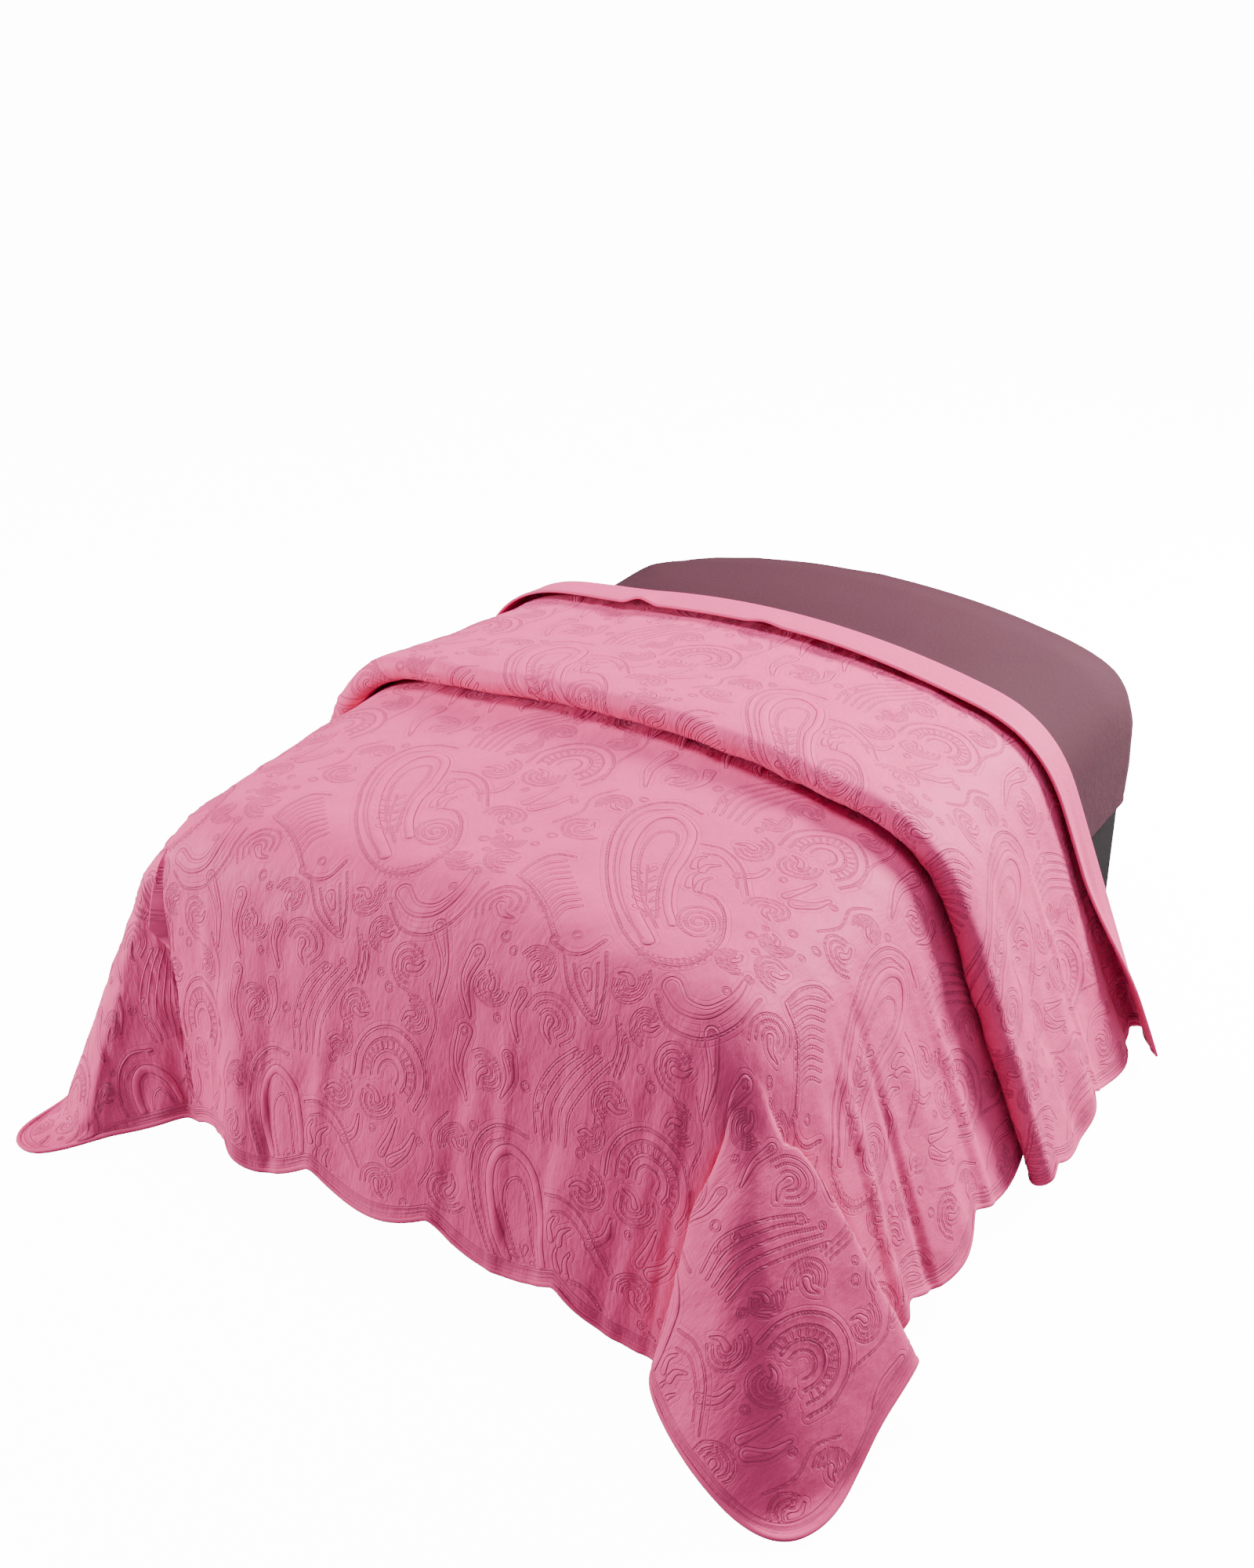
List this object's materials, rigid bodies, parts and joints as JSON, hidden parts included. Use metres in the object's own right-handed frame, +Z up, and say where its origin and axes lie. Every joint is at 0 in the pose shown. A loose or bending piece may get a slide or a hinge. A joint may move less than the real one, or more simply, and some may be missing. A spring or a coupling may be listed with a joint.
{
  "type": "quilted bedspread on a bed with a mattress",
  "caption": "Quilted bedspread with a scalloped hem, draped over a mattress on a plain base, its head end folded back in a thick tuck and its corners hanging in soft flaps.",
  "frame": {"origin": "on the floor under the middle of the bed", "axes": "+Z up, +Y to the head of the bed, +X to the right as seen from the foot"},
  "size_m": [2.1783, 2.4275, 0.9367],
  "materials": {
    "bedspread": "matt quilted cloth, pink",
    "mattress": "fitted sheet, dusty pink",
    "bed_base": "dark woven cover"
  },
  "bodies": {
    "root": {"bedspread": "bedspread", "mattress": "mattress", "bed_base": "bed_base"}
  },
  "joints": []
}
